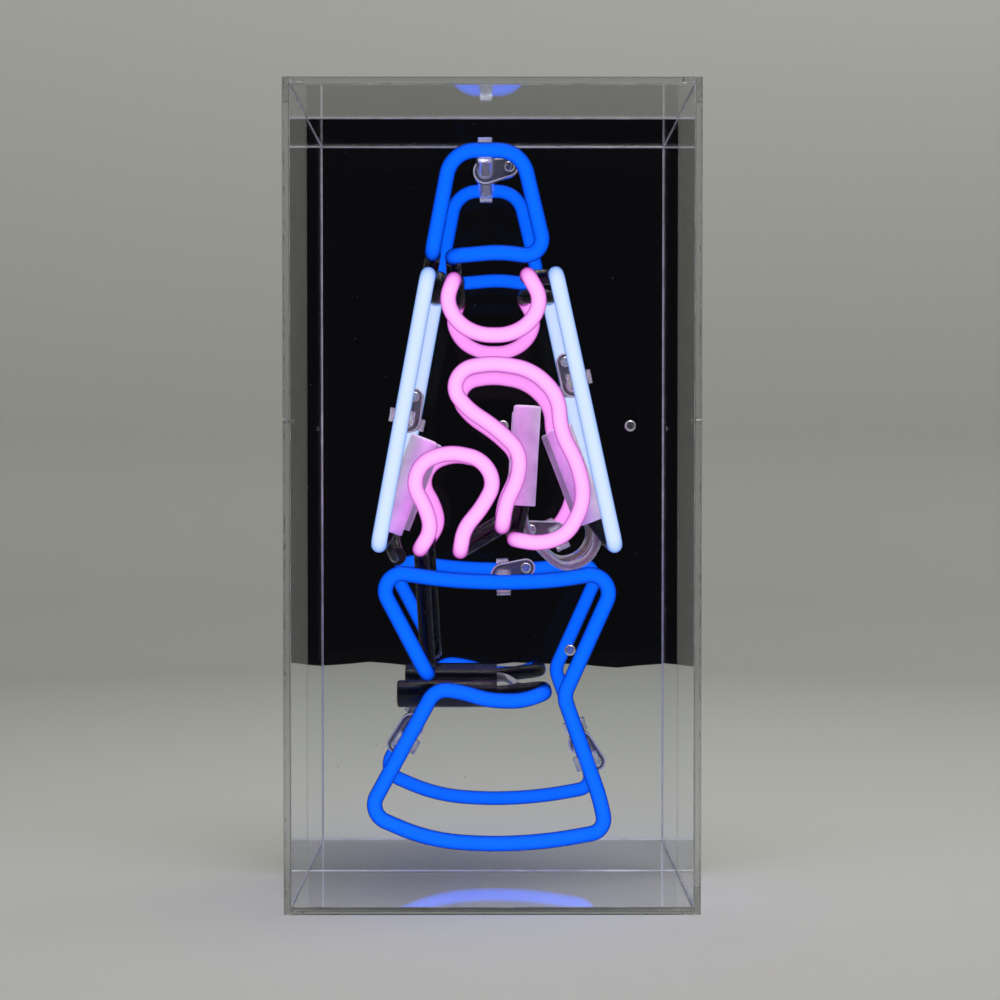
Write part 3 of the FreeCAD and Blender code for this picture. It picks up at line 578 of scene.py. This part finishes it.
def add_vent_cutter(bm, x):
    """A round bar across a side sheet, in the plane of the tubes."""
    along_x = Matrix.Translation((x, TUBE_DEPTH, VENT_HEIGHT)) @ Matrix.Rotation(math.pi / 2, 4, "Y")
    bmesh.ops.create_cone(
        bm, cap_ends=True, segments=VENT_SIDES, radius1=VENT_RADIUS, radius2=VENT_RADIUS,
        depth=CUTTER_LENGTH, matrix=along_x,
    )


def drill_vent(sheet):
    """Cut the breathing hole through a side sheet."""
    x = sheet.data.vertices[0].co.x
    cutter = put_in_scene("vent_cutter", built_mesh("vent_cutter", lambda bm: add_vent_cutter(bm, x)))
    cut = sheet.modifiers.new("vent", "BOOLEAN")
    cut.object = cutter
    drilled = bpy.data.meshes.new_from_object(sheet.evaluated_get(bpy.context.evaluated_depsgraph_get()))
    sheet.modifiers.remove(cut)
    sheet.data = drilled
    bpy.data.objects.remove(cutter)


def acrylic_sheets(face_material, front_material, edge_material):
    """The five clear sheets, each a hair apart from its neighbours, with eased edges."""
    inset = Vector((JOINT_GAP,) * 3)
    for name in SHEETS:
        low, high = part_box(name)
        size = high - low
        thin = min(range(3), key=lambda axis: size[axis])
        sheet_name = name.replace("panel", "sheet")
        sheet = piece(
            sheet_name,
            built_mesh(sheet_name, lambda bm: add_block(bm, low + inset, high - inset, SHEET_EDGE)),
            front_material if name == "front_panel" else face_material,
        )
        if name in ("left_panel", "right_panel"):
            drill_vent(sheet)
        sheet.data.materials.append(edge_material)
        for face in sheet.data.polygons:
            face.material_index = 0 if abs(face.normal[thin]) > FACE_ON else 1
        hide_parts(name)


def add_bead(bm, start, end, first, second):
    """A three-sided fillet from start to end, in the corner between the directions first and second."""
    hollow = (first + second) * BEAD_HOLLOW
    rings = [
        [bm.verts.new(point + offset * BEAD_SIZE) for offset in (Vector(), first, hollow, second)]
        for point in (start, end)
    ]
    for i in range(4):
        bm.faces.new((rings[0][i], rings[0][(i + 1) % 4], rings[1][(i + 1) % 4], rings[1][i]))
    bm.faces.new(rings[0])
    bm.faces.new(reversed(rings[1]))


def cement_beads(material):
    """The beads of cement along the box's inside corners, but not the upright ones beside the mirror, where
    none shows.
    """
    low = Vector((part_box("left_panel")[1].x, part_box("front_panel")[1].y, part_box("bottom_panel")[1].z))
    high = Vector((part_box("right_panel")[0].x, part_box("mirror_panel")[0].y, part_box("top_panel")[0].z))
    clear = Vector((JOINT_GAP,) * 3)
    ends = (low + clear, high - clear)
    for axis, along in enumerate("xyz"):
        one, two = (i for i in range(3) if i != axis)
        for side_one, side_two in ((0, 0), (0, 1), (1, 0), (1, 1)):
            if along == "z" and side_two:
                continue
            start = Vector()
            start[axis] = ends[0][axis] + BEAD_SIZE
            start[one] = ends[side_one][one]
            start[two] = ends[side_two][two]
            end = start.copy()
            end[axis] = ends[1][axis] - BEAD_SIZE
            first, second = Vector(), Vector()
            first[one] = 1 - 2 * side_one
            second[two] = 1 - 2 * side_two
            bead_name = f"cement_bead_{along}{side_one}{side_two}"
            bead = built_mesh(bead_name, lambda bm: add_bead(bm, start, end, first, second))
            piece(bead_name, bead, material)


def foot_outline():
    """The outline of a support's foot round its post and its screw, a rim's radius inside its edge."""
    big, small = FOOT_RADIUS - RIM_RADIUS, FOOT_LOBE_RADIUS - RIM_RADIUS
    half = math.acos((big - small) / FOOT_REACH)
    outline = []
    for i in range(RIM_STEPS + 1):
        turn = half + (2 * math.pi - 2 * half) * i / RIM_STEPS
        outline.append((big * math.cos(turn), big * math.sin(turn)))
    for i in range(RIM_STEPS + 1):
        turn = -half + 2 * half * i / RIM_STEPS
        outline.append((FOOT_REACH + small * math.cos(turn), small * math.sin(turn)))
    return outline


def foot_rims(material):
    """The raised rim round each support's foot, which catches the tubes' light."""
    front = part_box("mirror_panel")[0].y - FOOT_THICKNESS
    outline = foot_outline()
    for name, degrees in FOOT_ANGLES.items():
        low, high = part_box(f"support_clip_{name}")
        turn = math.radians(degrees)
        rim = bpy.data.curves.new(f"foot_rim_{name}", "CURVE")
        rim.dimensions = "3D"
        rim.bevel_depth = RIM_RADIUS
        rim.bevel_resolution = RIM_SEGMENTS
        line = rim.splines.new("POLY")
        line.points.add(len(outline) - 1)
        for point, (along, across) in zip(line.points, outline):
            x = (low.x + high.x) / 2 + along * math.cos(turn) - across * math.sin(turn)
            z = (low.z + high.z) / 2 + along * math.sin(turn) + across * math.cos(turn)
            point.co = (x, front, z, 1)
        line.use_cyclic_u = True
        piece(rim.name, rim, material)


# ---------- stage ----------


def stage_piece(name, points, faces, material):
    """A piece of the studio, which isn't part of the object."""
    mesh = bpy.data.meshes.new(name)
    mesh.from_pydata(points, [], faces)
    mesh.materials.append(material)
    made = put_in_scene(name, mesh)
    return made


def paper_material():
    """Studio paper, with light and shade painted into its colour, graded with the distance from the object.
    """
    material, tree, shader = principled(
        "studio_paper", PAPER_COLOUR, roughness=0.85, Specular_IOR_Level=0.1
    )
    distance = tree.nodes.new("ShaderNodeVectorMath")
    distance.operation = "LENGTH"
    tree.links.new(own_metres(tree), distance.inputs[0])
    share = maths(tree, "DIVIDE", distance.outputs["Value"], PAPER_REACH)
    # the paper's colour carries painted light and shade, brighter or darker with the distance
    painted_shades = [(metres / PAPER_REACH, [c * painted_tone for c in PAPER_COLOUR]) for metres, painted_tone in PAPER_PAINTED_LIGHT]
    tree.links.new(ramp(tree, share, *painted_shades), shader.inputs["Base Color"])
    return material


def studio_bowl():
    """The pale floor, its curve and the wall, all round the object."""
    turns = [math.pi / 2 * i / SWEEP_STEPS for i in range(SWEEP_STEPS + 1)]
    rings = [(FLOOR_RADIUS + SWEEP_RADIUS * math.sin(t), SWEEP_RADIUS * (1 - math.cos(t))) for t in turns]
    rings.append((FLOOR_RADIUS + SWEEP_RADIUS, WALL_TOP))
    sides = [2 * math.pi * i / STAGE_SIDES for i in range(STAGE_SIDES)]
    points = [(r * math.cos(side), r * math.sin(side), z) for r, z in rings for side in sides]
    faces = [tuple(range(STAGE_SIDES))]
    for ring in range(len(rings) - 1):
        inner, outer = ring * STAGE_SIDES, (ring + 1) * STAGE_SIDES
        for i in range(STAGE_SIDES):
            after = (i + 1) % STAGE_SIDES
            faces.append((inner + i, outer + i, outer + after, inner + after))
    bowl = stage_piece("studio_bowl", points, faces, paper_material())
    bowl.data.shade_smooth()


def cloth_material():
    """Black cloth that is there only for rays that a mirror has turned back, its faint light painted on as
    a glow.
    """
    material, tree, shader = principled(
        "dark_cloth", colour=(0, 0, 0), roughness=1.0,
        # painted light: the cloth's faint glow stands in for the lamps' light on it
        Specular_IOR_Level=0.0, Emission_Color=CLOTH_PAINTED_LIGHT, Emission_Strength=1.0,
    )
    path = tree.nodes.new("ShaderNodeLightPath")
    clear = tree.nodes.new("ShaderNodeBsdfTransparent")
    turned_back = maths(tree, "GREATER_THAN", path.outputs["Glossy Depth"], number=0.5)
    mix_surface(tree, turned_back, clear, shader)
    return material


def dark_cloth():
    """A black cloth behind the camera, hanging almost to the floor."""
    points = []
    for i in range(CLOTH_COLUMNS + 1):
        x = -CLOTH_HALF_WIDTH + 2 * CLOTH_HALF_WIDTH * i / CLOTH_COLUMNS
        hem = CLOTH_HEM + sum(height * math.sin(pace * x) for height, pace in CLOTH_FOLDS)
        points.append((x, CLOTH_Y, hem))
        points.append((x, CLOTH_Y, CLOTH_TOP))
    faces = [(2 * i, 2 * i + 2, 2 * i + 3, 2 * i + 1) for i in range(CLOTH_COLUMNS)]
    cloth = stage_piece("dark_cloth", points, faces, cloth_material())
    cloth.visible_camera = False
    cloth.visible_diffuse = False
    cloth.visible_shadow = False


def area_light(name, place, target, size, power):
    """A square softbox that the camera doesn't see directly."""
    data = bpy.data.lights.new(name, "AREA")
    data.shape = "SQUARE"
    data.size = size
    data.energy = power
    lamp = put_in_scene(name, data)
    lamp.location = place
    lamp.rotation_euler = (Vector(target) - Vector(place)).to_track_quat("-Z", "Y").to_euler()
    lamp.visible_camera = False


def studio_lights():
    """Soft light from above, a little stronger from the right, over an even grey surround."""
    world = bpy.data.worlds.new("studio")
    world.use_nodes = True
    background = world.node_tree.nodes["Background"]
    background.inputs["Color"].default_value = (*SURROUND_COLOUR, 1)
    background.inputs["Strength"].default_value = SURROUND_STRENGTH
    bpy.context.scene.world = world
    area_light("overhead", place=(0.35, -0.1, 1.9), target=(0.15, 0.0, 0.0), size=1.6, power=22)
    area_light("wall_wash", place=(0.75, 0.55, 1.6), target=(0.5, 1.3, 1.0), size=0.5, power=2.4)


def glow_lamp(name, place, colour, power):
    """A soft lamp as wide as a tube, which lights its surroundings and isn't seen itself."""
    data = bpy.data.lights.new(name, "POINT")
    data.energy = power
    data.color = colour
    data.shadow_soft_size = TUBE_RADIUS
    lamp = put_in_scene(name, data)
    lamp.location = place
    lamp.visible_camera = False
    lamp.visible_glossy = False
    lamp.visible_transmission = False


def tube_glows():
    """The glow that each lit tube throws on its neighbours, the supports and the table."""
    for node, colour, power, spots in TUBE_LAMPS:
        low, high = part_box(node)
        size = high - low
        nodes[node].visible_shadow = False
        for across, up in spots:
            place = (low.x + across * size.x, TUBE_DEPTH, low.z + up * size.z)
            glow_lamp(f"glow_{node}", place, colour, power)


def floor_glow():
    """The base tube's glow on the bottom sheet and the paper right under it."""
    low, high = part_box("base_tube")
    for across in FLOOR_GLOW_SPREAD:
        place = (low.x + across * (high.x - low.x), TUBE_DEPTH + FLOOR_GLOW_SETBACK, FLOOR_GLOW_HEIGHT)
        glow_lamp("floor_glow", place, FLOOR_GLOW, FLOOR_GLOW_POWER)


def camera():
    """The camera, turned so little that upright lines stay upright."""
    data = bpy.data.cameras.new("camera")
    data.lens = CAMERA_LENS
    data.sensor_width = CAMERA_SENSOR
    data.shift_y = CAMERA_SHIFT
    data.clip_start = CAMERA_NEAR
    data.clip_end = CAMERA_FAR
    made = put_in_scene("camera", data)
    made.location = CAMERA_PLACE
    made.rotation_euler = (math.pi / 2 - CAMERA_PITCH, 0, -CAMERA_YAW)
    bpy.context.scene.camera = made


def render_paths():
    """Enough bounces for glass in front of glass, and colours shown as they are."""
    scene = bpy.context.scene
    scene.cycles.max_bounces = 28
    scene.cycles.transmission_bounces = 24
    scene.cycles.glossy_bounces = 12
    scene.cycles.transparent_max_bounces = 24
    scene.view_settings.view_transform = "Standard"


materials = paint_all()
acrylic_sheets(
    materials["clear_acrylic"],
    acrylic_material("clear_front_acrylic", FRONT_GLARE),
    acrylic_edge_material(),
)
cement_beads(cement_material())
foot_rims(clear_plastic_material("support_rim_plastic", RIM_CLARITY))
studio_bowl()
dark_cloth()
studio_lights()
tube_glows()
floor_glow()
camera()
render_paths()
